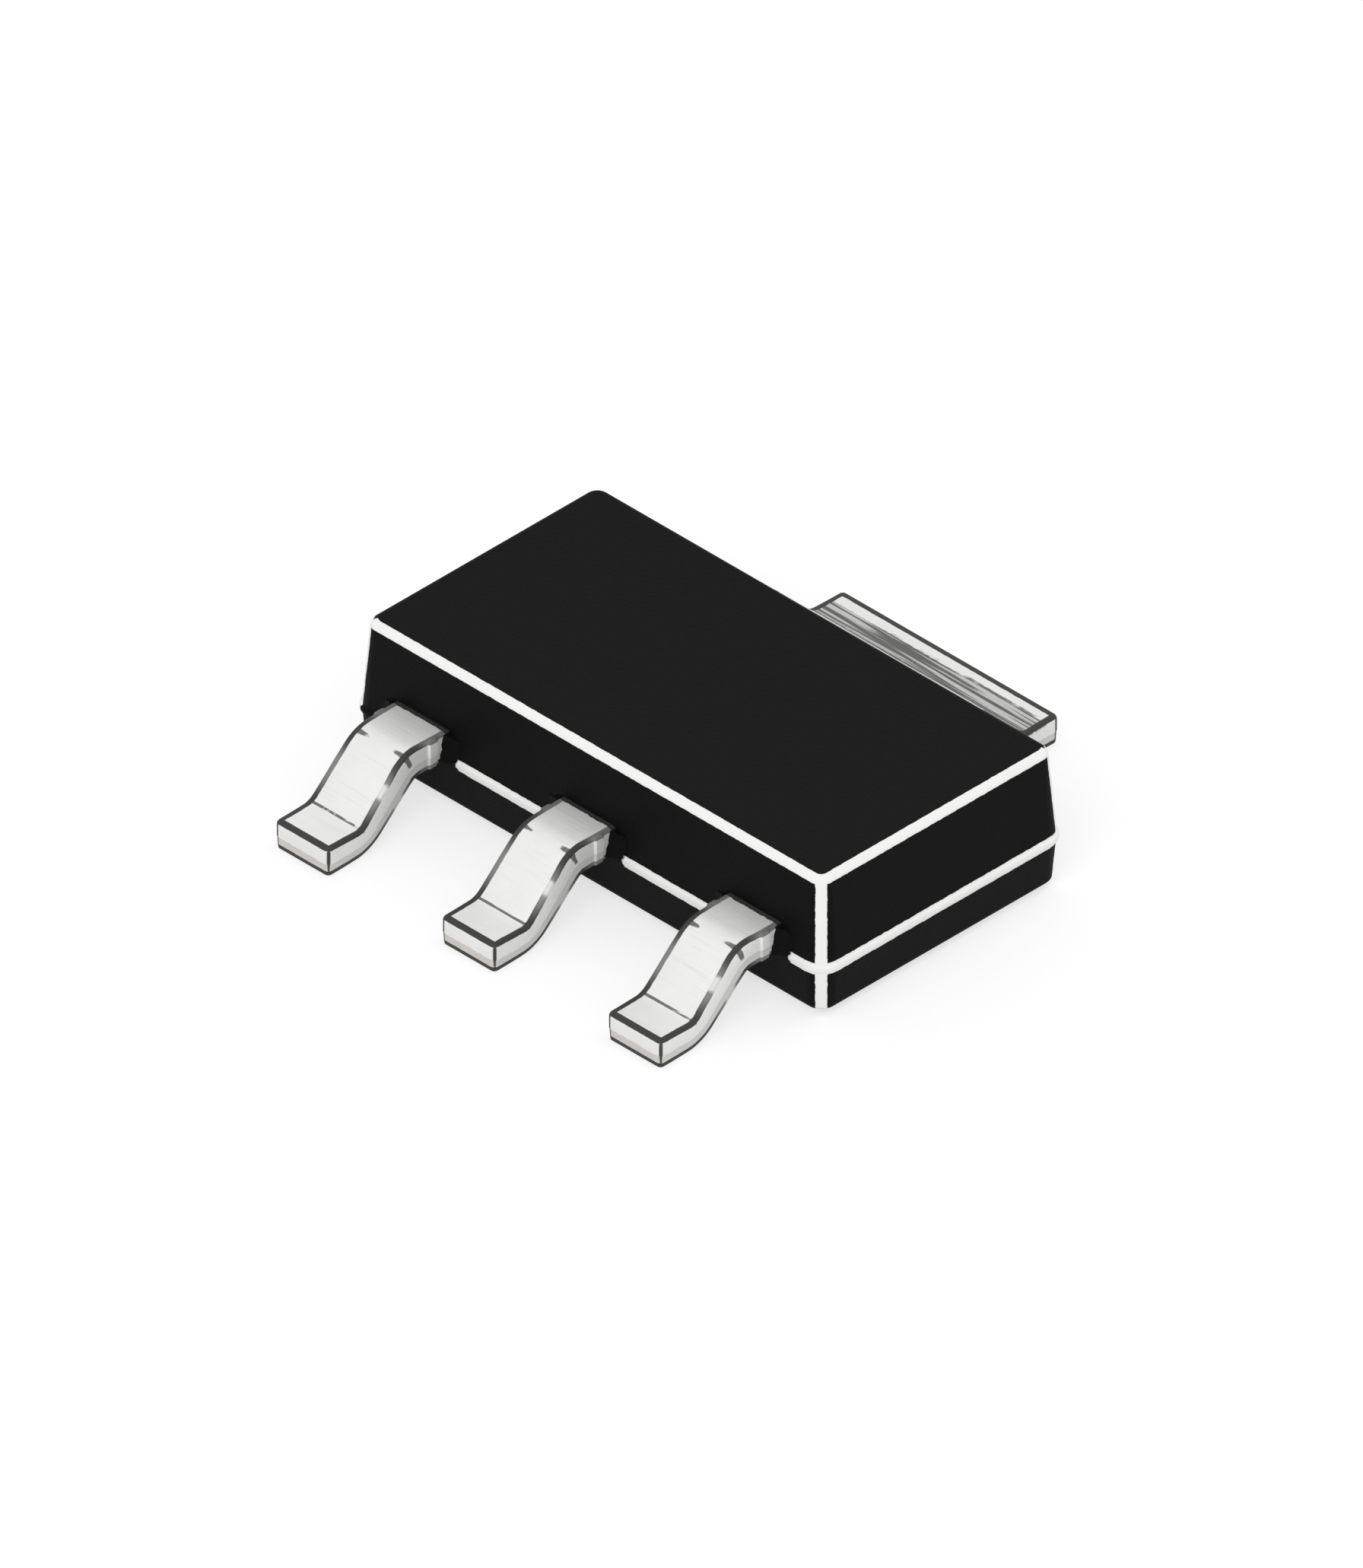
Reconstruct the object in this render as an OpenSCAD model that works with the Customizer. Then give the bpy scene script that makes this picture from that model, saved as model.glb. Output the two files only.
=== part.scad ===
// Low-dropout voltage regulator in a small-outline power package with three gull-wing leads and a wide tab.
// +X runs along the row of leads, -Y is the three-lead side, +Y the tab side and +Z up from the board.
// The origin is on the board, under the middle of the package.

/* [Moulded body] */
// Length of the body along the row of leads, at the parting line
body_l = 6.5; // [6.3:0.05:6.7]
// Width of the body from the lead side to the tab side, at the parting line
body_w = 3.4; // [3.3:0.05:3.7]
// Height of the top face above the board
top_z = 1.63; // [1.55:0.01:1.8]
// Gap between the board and the underside of the body
standoff = 0.06; // [0.02:0.01:0.1]
// Slope of the upper half's sides from upright, in degrees
upper_draft = 5; // [3:0.5:10]
// Slope of the lower half's sides from upright, in degrees
lower_draft = 5; // [3:0.5:8]
// Radius of the upright corners where they meet the top face
corner_r = 0.14; // [0.1:0.01:0.2]
// Radius of the edges round the top face and round the underside
edge_r = 0.08; // [0.05:0.01:0.1]
// How far the ridge of flash stands out along the parting line
flash_out = 0.02; // [0.01:0.005:0.03]
// Height of the flash ridge at its root
flash_h = 0.08; // [0.04:0.01:0.1]
// Width of the scar where the moulding gate broke off
gate_w = 1.2; // [0.8:0.1:1.6]
// Height of the gate scar above the parting line
gate_h = 0.18; // [0.1:0.01:0.25]
// How far the gate scar stands out from the body at the parting line
gate_out = 0.01; // [0.005:0.001:0.015]
// Diameter of each ejector pin's mark in the underside
ejector_d = 0.9; // [0.6:0.05:1.1]
// Depth of each ejector pin's mark
ejector_depth = 0.03; // [0.02:0.005:0.05]
// Distance between the two ejector marks
ejector_pitch = 3.8; // [3:0.1:4.4]

/* [Leads and tab] */
// Thickness of the stamped sheet
sheet_t = 0.33; // [0.24:0.01:0.35]
// Overall span from the tips of the leads to the tip of the tab
tip_span = 6.7; // [6.7:0.05:7.3]
// Distance between the centres of neighbouring leads
lead_pitch = 2.3; // [2.2:0.02:2.4]
// Width of each narrow lead
lead_w = 0.75; // [0.6:0.01:0.85]
// Width of the tab
tab_w = 3; // [2.9:0.02:3.2]
// Height of the upper face of the leads above the board, where they leave the body
lead_z = 0.93; // [0.85:0.01:0.95]
// Straight shoulder from the body to the first bend
shoulder_l = 0.4; // [0.34:0.01:0.44]
// Slope of the legs from level, in degrees
leg_slope = 45; // [42:1:60]
// Inside radius of the bend from the shoulder into the leg
shoulder_bend_r = 0.1; // [0.08:0.01:0.2]
// Inside radius of the bend from the leg into the foot
foot_bend_r = 0.18; // [0.1:0.01:0.24]
// Distance from the body to the stub of the cut tie bar on each side of a lead
stub_gap = 0.13; // [0.08:0.01:0.16]
// Length of that stub along the lead
stub_l = 0.14; // [0.1:0.01:0.18]
// How far that stub stands out
stub_out = 0.02; // [0.01:0.005:0.04]

/* [Stamped frame inside] */
// Width of the die paddle along the row of leads
paddle_w = 3.7; // [3.5:0.1:4.2]
// Plastic between the back edge of the paddle's wide part and the tab side of the body
paddle_cover = 0.6; // [0.5:0.05:0.7]
// Length of the narrow neck between the body's side and a bonding post
neck_l = 0.32; // [0.25:0.01:0.4]
// Length of each bonding post along the row of leads
post_l = 1.5; // [1.3:0.05:1.6]
// Width of each bonding post
post_w = 0.5; // [0.4:0.02:0.55]
// Gap between a bonding post and the paddle
frame_gap = 0.25; // [0.2:0.01:0.3]
// Diameter of the holes that lock the moulding compound to the tab
lock_d = 0.34; // [0.25:0.01:0.4]
// Distance between the lock holes
lock_pitch = 1.9; // [1.5:0.1:2.1]
// Distance from the lock holes' centres to the tab side of the body
lock_inset = 0.38; // [0.34:0.01:0.42]

/* [Die and bond wires] */
// Length of the silicon die along the row of leads
die_l = 1.7; // [1.4:0.05:1.9]
// Width of the silicon die
die_w = 1.1; // [0.9:0.05:1.2]
// Thickness of the silicon die
die_t = 0.25; // [0.18:0.01:0.3]
// Distance from the front edge of the paddle to the die
die_setback = 0.42; // [0.35:0.01:0.45]
// Thickness of the die attach
attach_t = 0.03; // [0.02:0.005:0.05]
// How far the die attach runs out past the die all round
attach_margin = 0.08; // [0.05:0.01:0.12]
// Diameter of the bond wires
wire_d = 0.05; // [0.038:0.001:0.075]
// Length of a wire's flattened foot
wire_foot_l = 0.16; // [0.12:0.01:0.2]
// Height of a wire's flattened foot
wire_foot_h = 0.02; // [0.015:0.001:0.03]
// Distance from the die's front edge to the wires' feet on the die
pad_inset = 0.13; // [0.11:0.01:0.18]
// Distance between two wires that run side by side
wire_gap = 0.26; // [0.2:0.01:0.3]
// Height of the arch of the long wires, from post to die
long_arch = 0.34; // [0.3:0.01:0.38]
// Height of the arch of the short wires, from the centre lead to the die
short_arch = 0.22; // [0.2:0.01:0.24]

/* [Hidden] */
$fn = 48;

// The two halves of the mould meet in the plane of the leads' lower face
parting_z = lead_z - sheet_t;
upper_inset = (top_z - parting_z) * tan(upper_draft);
lower_inset = (parting_z - standoff) * tan(lower_draft);
// Radius of the upright corners at the parting line, and their centres
body_r = corner_r + upper_inset;
core_x = body_l / 2 - body_r;
core_y = body_w / 2 - body_r;
edge_steps = 8;

// The sheet's lower face turns on the inside of the shoulder bend and on the outside of the foot bend
lower_radii = shoulder_bend_r + foot_bend_r + sheet_t;
// Straight part of the leg, from the drop that the two bends leave over
leg_drop = lead_z - sheet_t - lower_radii * (1 - cos(leg_slope));
leg_l = leg_drop / sin(leg_slope);
legs_reach = shoulder_l + lower_radii * sin(leg_slope) + leg_l * cos(leg_slope);
foot_l = (tip_span - body_w) / 2 - legs_reach;

post_front = -body_w / 2 + neck_l;
paddle_front = post_front + post_w + frame_gap;
paddle_back = body_w / 2 - paddle_cover;
post_outer = lead_pitch + lead_w / 2;

die_front = paddle_front + die_setback;
die_z = lead_z + attach_t;
die_top = die_z + die_t;
pad_y = die_front + pad_inset;
post_y = post_front + post_w / 2;
wire_foot_w = wire_d * 1.5;

// Points of a round stretch from angle a to angle b
function arc(centre, r, a, b) = [
    for (i = [0:edge_steps]) centre + r * [cos(a + (b - a) * i / edge_steps), sin(a + (b - a) * i / edge_steps)]
];

// Sheet section that runs on from a bend of the given inside radius, which turns down by the angle
module bend_down(inner_r, angle) {
    outer_r = inner_r + sheet_t;
    translate([0, -inner_r]) {
        intersection() {
            ring(inner_r, outer_r);
            square(outer_r);
            rotate(-angle) translate([-outer_r, 0]) square([outer_r, outer_r]);
        }
        rotate(-angle) translate([0, inner_r]) children();
    }
}

// Sheet section that runs on from a bend of the given inside radius, which turns up by the angle
module bend_up(inner_r, angle) {
    outer_r = inner_r + sheet_t;
    translate([0, outer_r]) {
        intersection() {
            ring(inner_r, outer_r);
            translate([0, -outer_r]) square(outer_r);
            rotate(angle) translate([-outer_r, -outer_r]) square([outer_r, outer_r]);
        }
        rotate(angle) translate([0, -outer_r]) children();
    }
}

module ring(inner, outer) {
    difference() {
        circle(outer);
        circle(inner);
    }
}

// Side view of a gull wing: shoulder, bend, leg, bend and foot, from x = 0 at the body's side
module gull_section() {
    square([shoulder_l, sheet_t]);
    translate([shoulder_l, 0]) bend_down(shoulder_bend_r, leg_slope) {
        square([leg_l, sheet_t]);
        translate([leg_l, 0]) bend_up(foot_bend_r, leg_slope) square([foot_l, sheet_t]);
    }
}

// Gull wing of the given width that leaves the body towards -Y, with the stubs of the cut tie bar
module gull_wing(width) {
    translate([width / 2, -body_w / 2, parting_z])
        rotate([90, 0, -90]) linear_extrude(width) gull_section();
    near_y = -body_w / 2 - stub_gap;
    far_y = near_y - stub_l;
    side_x = width / 2;
    frame_plate([
        [-side_x, near_y], [-side_x - stub_out, near_y - stub_out],
        [-side_x - stub_out, far_y + stub_out], [-side_x, far_y],
        [side_x, far_y], [side_x + stub_out, far_y + stub_out],
        [side_x + stub_out, near_y - stub_out], [side_x, near_y],
    ]);
}

// Flat piece of the stamped frame at the height where it leaves the body, from its outline
module frame_plate(points) {
    translate([0, 0, parting_z]) linear_extrude(sheet_t) polygon(points);
}

// Outer lead at the row's -X end: gull wing, neck and bonding post
module post_lead() {
    translate([-lead_pitch, 0, 0]) gull_wing(lead_w);
    neck_x = -lead_pitch + lead_w / 2;
    frame_plate([
        [-post_outer, -body_w / 2], [neck_x, -body_w / 2], [neck_x, post_front],
        [-post_outer + post_l, post_front], [-post_outer + post_l, post_front + post_w],
        [-post_outer, post_front + post_w],
    ]);
}

// Centre lead, die paddle and tab, stamped as one piece
module paddle_and_tab() {
    gull_wing(lead_w);
    mirror([0, 1, 0]) gull_wing(tab_w);
    difference() {
        frame_plate([
            [-lead_w / 2, -body_w / 2], [lead_w / 2, -body_w / 2], [lead_w / 2, paddle_front],
            [paddle_w / 2, paddle_front], [paddle_w / 2, paddle_back], [tab_w / 2, paddle_back],
            [tab_w / 2, body_w / 2], [-tab_w / 2, body_w / 2], [-tab_w / 2, paddle_back],
            [-paddle_w / 2, paddle_back], [-paddle_w / 2, paddle_front], [-lead_w / 2, paddle_front],
        ]);
        for (side = [-1, 1])
            translate([side * lock_pitch / 2, body_w / 2 - lock_inset, parting_z - sheet_t])
                cylinder(d = lock_d, h = 3 * sheet_t);
    }
}

// Section of the body outside its corner centres: drafted sides, rounded edges and the flash ridge between
module rim_section() {
    bottom_r = body_r - lower_inset;
    root_h = flash_h / 2;
    crest_h = flash_h / 4;
    top_x = corner_r - edge_r * tan(45 - upper_draft / 2);
    bottom_x = bottom_r - edge_r * tan(45 - lower_draft / 2);
    polygon(concat(
        [[0, top_z], [0, standoff]],
        arc([bottom_x, standoff + edge_r], edge_r, -90, -lower_draft),
        [[body_r - root_h * tan(lower_draft), parting_z - root_h]],
        [[body_r + flash_out, parting_z - crest_h], [body_r + flash_out, parting_z + crest_h]],
        [[body_r - root_h * tan(upper_draft), parting_z + root_h]],
        arc([top_x, top_z - edge_r], edge_r, upper_draft, 90)
    ));
}

// A quarter of the body: core, long side, short side and corner
module quarter_block() {
    translate([0, 0, standoff]) cube([core_x, core_y, top_z - standoff]);
    translate([core_x, core_y, 0]) rotate_extrude(angle = 90) rim_section();
    translate([core_x, core_y, 0]) rotate([90, 0, 0]) linear_extrude(core_y) rim_section();
    translate([0, core_y, 0]) rotate([90, 0, 90]) linear_extrude(core_x) rim_section();
}

// Arched wire from a foot at a to a lower foot at b, each given as [x, y, z]
module bond_wire(a, b, arch) {
    run = norm([b.x - a.x, b.y - a.y]);
    drop = a.z - b.z;
    chord = norm([run, drop]);
    r = (chord * chord / 4 + arch * arch) / (2 * arch);
    tilt = atan2(drop, run);
    centre = [run / 2 - (r - arch) * sin(tilt), -drop / 2 - (r - arch) * cos(tilt)];
    half_turn = asin(chord / 2 / r);
    spare = 12;
    translate(a) rotate([0, 0, atan2(b.y - a.y, b.x - a.x)]) {
        difference() {
            translate([centre.x, 0, centre.y]) rotate([90, 0, 0])
                rotate([0, 0, 90 - tilt - half_turn - spare])
                    rotate_extrude(angle = 2 * (half_turn + spare)) translate([r, 0]) circle(d = wire_d);
            translate([-run, -wire_d, -r]) cube([run * 1.4, 2 * wire_d, r]);
            translate([0, -wire_d, -drop - r]) cube([run * 2, 2 * wire_d, r]);
        }
        for (foot = [[0, 0, 0], [run, 0, -drop]])
            translate(foot - [wire_foot_l / 2, wire_foot_w / 2, 0]) cube([wire_foot_l, wire_foot_w, wire_foot_h]);
    }
}

module adjust_lead() {
    color([0.78, 0.78, 0.76]) post_lead();
}

module output_frame() {
    color([0.74, 0.74, 0.72]) paddle_and_tab();
}

module input_lead() {
    color([0.78, 0.78, 0.76]) mirror([1, 0, 0]) post_lead();
}

module die_attach() {
    size = [die_l + 2 * attach_margin, die_w + 2 * attach_margin];
    color([0.62, 0.62, 0.6])
        translate([-size.x / 2, die_front - attach_margin, lead_z]) cube([size.x, size.y, attach_t]);
}

module silicon_die() {
    color([0.32, 0.34, 0.4]) translate([-die_l / 2, die_front, die_z]) cube([die_l, die_w, die_t]);
}

// Wire from the die to a bonding post, for the post on the given side and its place in the pair
module post_wire(side, place) {
    pad_x = die_l / 2 - pad_inset - place * wire_gap;
    post_x = post_outer - post_l + wire_foot_l + (1 - place) * wire_gap;
    color([0.8, 0.8, 0.8]) bond_wire([side * pad_x, pad_y, die_top], [side * post_x, post_y, lead_z], long_arch);
}

// Wire from the die to the root of the centre lead
module centre_wire(side) {
    root_y = paddle_front - wire_foot_l;
    color([0.8, 0.8, 0.8])
        bond_wire([side * wire_gap / 2, pad_y, die_top], [side * wire_gap / 2, root_y, lead_z], short_arch);
}

module adjust_wire() {
    post_wire(-1, 0);
}

module input_wire_a() {
    post_wire(1, 0);
}

module input_wire_b() {
    post_wire(1, 1);
}

module output_wire_a() {
    centre_wire(-1);
}

module output_wire_b() {
    centre_wire(1);
}

// Outer form of the body before the pieces inside it are taken out
module body_block() {
    for (x = [0, 1], y = [0, 1])
        mirror([x, 0, 0]) mirror([0, y, 0]) quarter_block();
    translate([-body_l / 2 - gate_out, -gate_w / 2, parting_z]) cube([body_r, gate_w, gate_h]);
}

module moulded_body() {
    color([0.07, 0.07, 0.075]) difference() {
        body_block();
        for (side = [-1, 1])
            translate([side * ejector_pitch / 2, 0, 0]) cylinder(d = ejector_d, h = standoff + ejector_depth);
        adjust_lead();
        output_frame();
        input_lead();
        die_attach();
        silicon_die();
        adjust_wire();
        input_wire_a();
        input_wire_b();
        output_wire_a();
        output_wire_b();
    }
}

moulded_body();
adjust_lead();
output_frame();
input_lead();
die_attach();
silicon_die();
adjust_wire();
input_wire_a();
input_wire_b();
output_wire_a();
output_wire_b();
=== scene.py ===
"""Looks of a low-dropout voltage regulator in a small power package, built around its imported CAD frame."""

import functools
import math
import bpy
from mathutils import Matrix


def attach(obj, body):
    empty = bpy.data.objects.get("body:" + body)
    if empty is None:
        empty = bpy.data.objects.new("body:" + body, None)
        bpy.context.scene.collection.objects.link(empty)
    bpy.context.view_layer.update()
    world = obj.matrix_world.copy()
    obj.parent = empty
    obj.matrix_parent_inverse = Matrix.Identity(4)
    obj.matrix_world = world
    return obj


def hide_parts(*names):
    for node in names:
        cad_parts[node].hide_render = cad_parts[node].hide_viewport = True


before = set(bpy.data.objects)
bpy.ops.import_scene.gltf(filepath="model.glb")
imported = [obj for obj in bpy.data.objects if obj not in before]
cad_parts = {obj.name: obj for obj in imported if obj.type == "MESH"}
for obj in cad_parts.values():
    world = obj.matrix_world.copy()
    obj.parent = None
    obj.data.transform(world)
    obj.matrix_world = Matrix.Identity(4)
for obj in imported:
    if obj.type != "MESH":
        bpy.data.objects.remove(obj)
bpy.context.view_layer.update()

from types import SimpleNamespace

import bmesh
import bpy
from mathutils import Matrix, Vector, noise

# Lengths are in millimetres, as in the CAD source, here and in the materials. Finished meshes are in metres
MM = 0.001

# Moulded body
BODY_L = 6.5
BODY_W = 3.4
TOP_Z = 1.63
DRAFT = math.radians(5)
CORNER_R = 0.14
GATE_W = 1.2
GATE_H = 0.18
GATE_OUT = 0.01

# Leads and tab
SHEET_T = 0.33
TIP_SPAN = 6.7
LEAD_PITCH = 2.3
LEAD_W = 0.75
TAB_W = 3.0
LEAD_Z = 0.93
SHOULDER_L = 0.4
LEG_SLOPE = math.radians(45)
SHOULDER_BEND_R = 0.1
FOOT_BEND_R = 0.18
TOE_R = 0.06
STUB_GAP = 0.13
STUB_L = 0.14
STUB_OUT = 0.02
# Depth below the upper face at which the sheet broke away instead of being cut
BREAK_DEPTH = 0.188
# At a bend, the sheet's sides bulge by this much on its inner face, and draw in by as much on its outer face
SQUEEZE = 0.014
SQUEEZE_REACH = 0.3  # in from each side

# Stamped frame inside the body
PADDLE_W = 3.7
PADDLE_COVER = 0.6
NECK_L = 0.32
POST_L = 1.5
POST_W = 0.5
FRAME_GAP = 0.25
FRAME_R = 0.08
LOCK_D = 0.34
LOCK_PITCH = 1.9
LOCK_INSET = 0.38
LOCK_POINTS = 32

# Cuts across a gull wing before it is bent
BEND_CUTS = 14
LEG_CUTS = 6
FLAT_CUTS = 5  # along the shoulder, and along the foot

# Webs of resin in the corners beside the leads and the tab
WEB_L = 0.18  # along the body's side
WEB_TUCK = 0.012  # of that, inside the metal
WEB_ROOT = 0.06  # into the body
WEB_OUT = 0.10  # thickness in the corner
WEB_THIN = 0.003  # thickness at the far end
WEB_GRID = (14, 10)  # columns and rows

# Relief of the broken gate
FRACTURE_OUT = 0.009
FRACTURE_GRID = (96, 16)  # columns and rows

# Bands of painted highlight on the body
RIM_BAND = 0.071  # reach from the top's virtual edge
OUTER_HALF = 0.014  # how much nearer to the side than to the top the outer half of that band is
CORNER_BAND = 0.083  # largest difference between the reaches past the core in X and in Y
RIDGE_BAND = 0.066  # reach up and down from the parting line
RIDGE_CLEAR = 0.145  # from the sides of the leads and the tab
SIDE_SKIN = 0.03  # depth that still counts as the side

# Dark outline of painted shade along the sheet's edges
SHADE_LINE_IN = 0.071  # on the faces, in from the outline
SHADE_LINE_DOWN = 0.034  # on the sheared edge, down from the upper face
SHADE_LINE_UP = 0.056  # and up from the lower face
TOE_CORNER = 0.0425  # in from both outlines that meet at a corner of the toe
NEAR_FIRST = 0.175  # reach of the strong stretch at the first fold
BEFORE_SECOND = 0.25  # start of the other one before the second fold
THIN_SPOT_SHARE = 0.42  # place of the thin stretch on the way from fold to fold
THIN_SPOT_HALF_L = 0.08
# The outline that it follows lies a little towards +X, and past the toes of the leads and the tab
OUTLINE_SHIFT = 0.012
OUTLINE_PAST_LEAD = 0.006
OUTLINE_PAST_TAB = -0.018
BLEED_L = 0.027  # of the resin that bled on from the body
BROKEN_IN = 0.0285  # reach of the broken part of the edge, in from the outline

# Marks of tools on the metal, as half widths
FIRST_MARK = 0.023  # at the first fold
FIRST_MARK_L = 0.185  # their length, in from the sheet's sides
SECOND_MARK = 0.028  # at the second fold
SECOND_MARK_DEPTH = 0.04  # its reach down the rolled edge
PAD_MARK = 0.019  # where the edge of a pad pressed on the tab
PAD_DEPTH = 0.045  # reach of the pad's marks and of the painted shade down the rolled edge
PAD_SETBACK = 0.20  # of the pad's edge from the tab's toe
SHADE_EASE = 0.07  # start of the full painted shade, before the end of the slope

# Colours, as linear red, green and blue, all opaque
WHITE = (1.0, 1.0, 1.0, 1.0)
TABLE = (0.9, 0.9, 0.9, 1.0)
RESIN_DEEP = (0.002, 0.002, 0.0023, 1.0)
RESIN_LIT = (0.005, 0.005, 0.0054, 1.0)
# Pale highlight painted on the body's rims, upright corners and parting flash
RESIN_PAINTED_HIGHLIGHT = (0.90, 0.90, 0.89, 1.0)
RESIN_BROKEN = (0.010, 0.010, 0.011, 1.0)
RESIN_LUMPS = (0.045, 0.045, 0.046, 1.0)
FILLER = (0.30, 0.30, 0.29, 1.0)
TIN_DULL = (0.78, 0.78, 0.77, 1.0)
TIN_CLEAR = (0.86, 0.86, 0.85, 1.0)
TIN_ROLLED = (0.54, 0.54, 0.53, 1.0)
# Painted shade, hatched grey on the tab
TIN_SHADE_HATCH = (0.105, 0.105, 0.103, 1.0)
TIN_MARKED = (0.10, 0.10, 0.098, 1.0)
# Painted shade, as a dark outline along the sheet's edges
TIN_OUTLINE_SHADE = (0.045, 0.045, 0.044, 1.0)
EDGE_BROKEN = (0.50, 0.49, 0.48, 1.0)
EDGE_COPPER = (0.58, 0.48, 0.42, 1.0)
SOLDER_DARK = (0.5, 0.5, 0.49, 1.0)
SOLDER_LIGHT = (0.62, 0.62, 0.6, 1.0)
SILICON_DARK = (0.10, 0.11, 0.14, 1.0)
SILICON_LIGHT = (0.13, 0.14, 0.18, 1.0)
ALUMINIUM_DARK = (0.78, 0.78, 0.79, 1.0)
ALUMINIUM_LIGHT = (0.88, 0.88, 0.89, 1.0)

# Lamps: strength, angle that the source covers in degrees, and the way from the part to it
LAMPS = {
    "key": (0.75, 30, (0.35, -0.80, 0.80)),
    "back": (0.3, 45, (0.25, 0.75, 1.0)),
}
WORLD_LIGHT = 0.75  # strength of what comes from all round

# White table
TABLE_SIZE = 600
TABLE_DROP = 0.002  # below the feet
TABLE_GLOW = 1.13  # strength
GLOW_SHARE = 0.6  # of the glow in what the camera sees of the table

# Camera
VIEW_SIZE = 15.348  # longer side of the picture
VIEW_RIGHT = -0.272  # its middle, from the origin of the frame
VIEW_UP = 0.341
VIEW_AWAY = 30
VIEW_NEAREST = 1
VIEW_FARTHEST = 1000

HALF_T = SHEET_T / 2
HALF_BODY = BODY_W / 2
PARTING_Z = LEAD_Z - SHEET_T
# Upright corners at the parting line: their radius and the places of their centres
BODY_R = CORNER_R + (TOP_Z - PARTING_Z) * math.tan(DRAFT)
CORE_X = BODY_L / 2 - BODY_R
CORE_Y = BODY_W / 2 - BODY_R
# Radii and lengths of the bends along the middle of the sheet
SHOULDER_MID_R = SHOULDER_BEND_R + HALF_T
FOOT_MID_R = FOOT_BEND_R + HALF_T
SHOULDER_ARC = SHOULDER_MID_R * LEG_SLOPE
FOOT_ARC = FOOT_MID_R * LEG_SLOPE
BOTH_R = SHOULDER_MID_R + FOOT_MID_R
LEG_L = (PARTING_Z - BOTH_R * (1 - math.cos(LEG_SLOPE))) / math.sin(LEG_SLOPE)
LEGS_REACH = SHOULDER_L + BOTH_R * math.sin(LEG_SLOPE) + LEG_L * math.cos(LEG_SLOPE)
FOOT_L = (TIP_SPAN - BODY_W) / 2 - LEGS_REACH
# Runs along the sheet from the body's side
LEG_START = SHOULDER_L + SHOULDER_ARC
LEG_END = LEG_START + LEG_L
FOOT_START = LEG_END + FOOT_ARC
RUN_L = FOOT_START + FOOT_L
FIRST_FOLD = SHOULDER_L + SHOULDER_ARC / 2
SECOND_FOLD = LEG_END + FOOT_ARC / 2
THIN_SPOT_RUN = FIRST_FOLD + THIN_SPOT_SHARE * (SECOND_FOLD - FIRST_FOLD)

POST_FRONT = -HALF_BODY + NECK_L
PADDLE_FRONT = POST_FRONT + POST_W + FRAME_GAP
PADDLE_BACK = HALF_BODY - PADDLE_COVER

# Sheared edge of the sheet from its upper face down: distance in from the outline and depth
EDGE_PROFILE = [
    (0.055, 0.000),
    (0.034, 0.0025),
    (0.019, 0.010),
    (0.008, 0.023),
    (0.002, 0.039),
    (0.000, 0.057),
    (0.000, BREAK_DEPTH - 0.008),
    (0.005, BREAK_DEPTH + 0.008),
    (0.012, SHEET_T - 0.022),
    (0.016, SHEET_T - 0.005),
    (0.026, SHEET_T),
    (0.055, SHEET_T),
]


def link(obj):
    bpy.context.scene.collection.objects.link(obj)
    return obj


class Value:
    """What a node gives. To calculate with it, or to compare it, adds a math node to its graph."""

    def __init__(self, graph, socket):
        self.graph = graph
        self.socket = socket

    def __add__(self, other):
        return self.graph.calculate("ADD", self, other)

    def __sub__(self, other):
        return self.graph.calculate("SUBTRACT", self, other)

    def __rsub__(self, other):
        return self.graph.calculate("SUBTRACT", other, self)

    def __mul__(self, other):
        return self.graph.calculate("MULTIPLY", self, other)

    def __truediv__(self, other):
        return self.graph.calculate("DIVIDE", self, other)

    def __gt__(self, other):
        return self.graph.calculate("GREATER_THAN", self, other)

    def __lt__(self, other):
        return self.graph.calculate("LESS_THAN", self, other)

    def __abs__(self):
        return self.graph.calculate("ABSOLUTE", self)


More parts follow.
